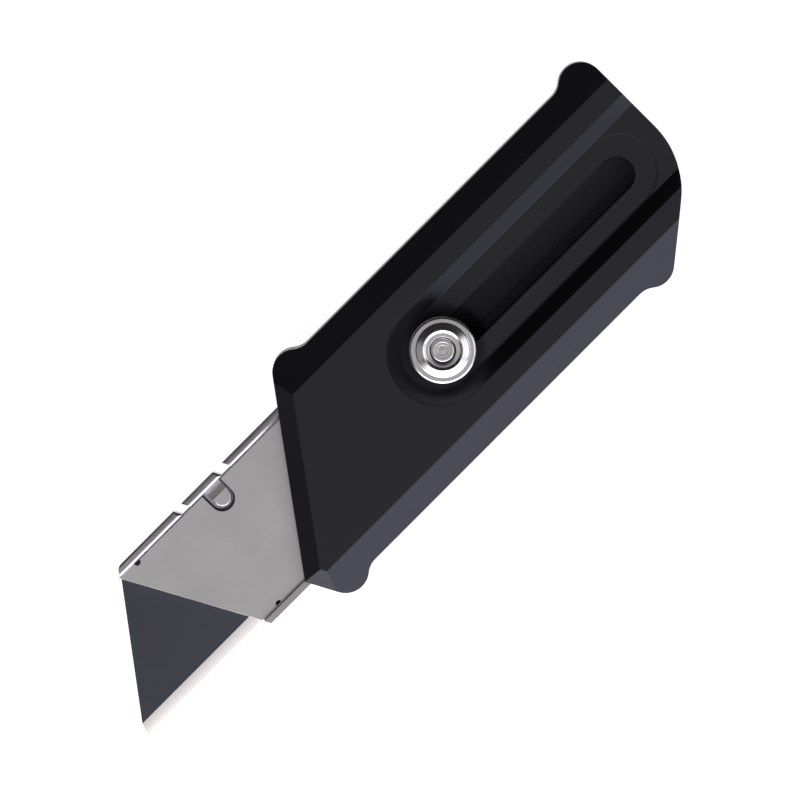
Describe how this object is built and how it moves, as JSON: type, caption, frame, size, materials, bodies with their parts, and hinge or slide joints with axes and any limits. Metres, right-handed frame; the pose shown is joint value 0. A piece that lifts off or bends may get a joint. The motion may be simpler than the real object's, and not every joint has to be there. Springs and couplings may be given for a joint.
{
  "type": "utility knife",
  "caption": "Slide-out utility knife: a flat black metal body, a steel carrier with a trapezoid blade, and a pressed thumb knob that runs in a slot.",
  "frame": {"origin": "centre of the bounding box's bottom: the knife lies on its flat back", "axes": "+X from the blade's tip to the tail, +Y from the cutting edge to the blade's back, +Z out of the face with the knob"},
  "size_m": [0.1148, 0.0322, 0.0115],
  "materials": {
    "body_anodised": "fine bead-blasted black anodised aluminium",
    "cover_anodised": "fine bead-blasted black anodised aluminium",
    "screw_black": "blackened steel",
    "pin_steel": "ground steel",
    "strip_acetal": "moulded black acetal",
    "spring_steel": "bright spring steel",
    "carrier_steel": "satin stainless steel",
    "plate_steel": "satin stainless steel",
    "spacer_steel": "stamped steel",
    "glide_white": "smooth white PTFE film",
    "blade_coated": "dark coated steel with a bright ground edge",
    "knob_steel": "turned stainless steel",
    "knob_screw_steel": "turned stainless steel",
    "stem_steel": "turned steel",
    "brake_fibre": "brown friction fibre"
  },
  "bodies": {
    "handle": {"front_shell": "body_anodised", "back_cover": "cover_anodised", "cover_screws": "screw_black", "dowel_pins": "pin_steel", "upper_guide_strip": "strip_acetal", "lower_guide_strip": "strip_acetal", "detent_spring": "spring_steel", "detent_rivets": "pin_steel"},
    "carrier": {"carrier_tray": "carrier_steel", "carrier_plate": "plate_steel", "carrier_rivets": "pin_steel", "rear_spacer": "spacer_steel", "tray_glides": "glide_white", "blade": "blade_coated", "lock_spring": "spring_steel"},
    "latch": {"blade_latch": "carrier_steel"},
    "knob": {"knob_cap": "knob_steel", "knob_screw": "knob_screw_steel", "knob_flange": "knob_steel", "knob_stem": "stem_steel", "brake_disc": "stem_steel", "brake_ring": "brake_fibre", "stem_clip": "spring_steel"}
  },
  "joints": [
    {"name": "carrier_slide", "type": "slide", "parent": "handle", "child": "carrier", "axis": [1, 0, 0], "range_m": [0, 0.0356]},
    {"name": "knob_press", "type": "slide", "parent": "carrier", "child": "knob", "axis": [0, 0, -1], "range_m": [0, 0.0006], "stiffness_N_per_m": 2000, "springref_m": -0.0008, "deforming": ["lock_spring"]},
    {"name": "latch_lift", "type": "hinge", "parent": "carrier", "child": "latch", "pos_m": [-0.0257, 0.0105, 0.0033], "axis": [-1, 0, 0], "range_deg": [0, 8.5], "stiffness_Nm_per_rad": 0.3, "springref_deg": -2.86}
  ]
}
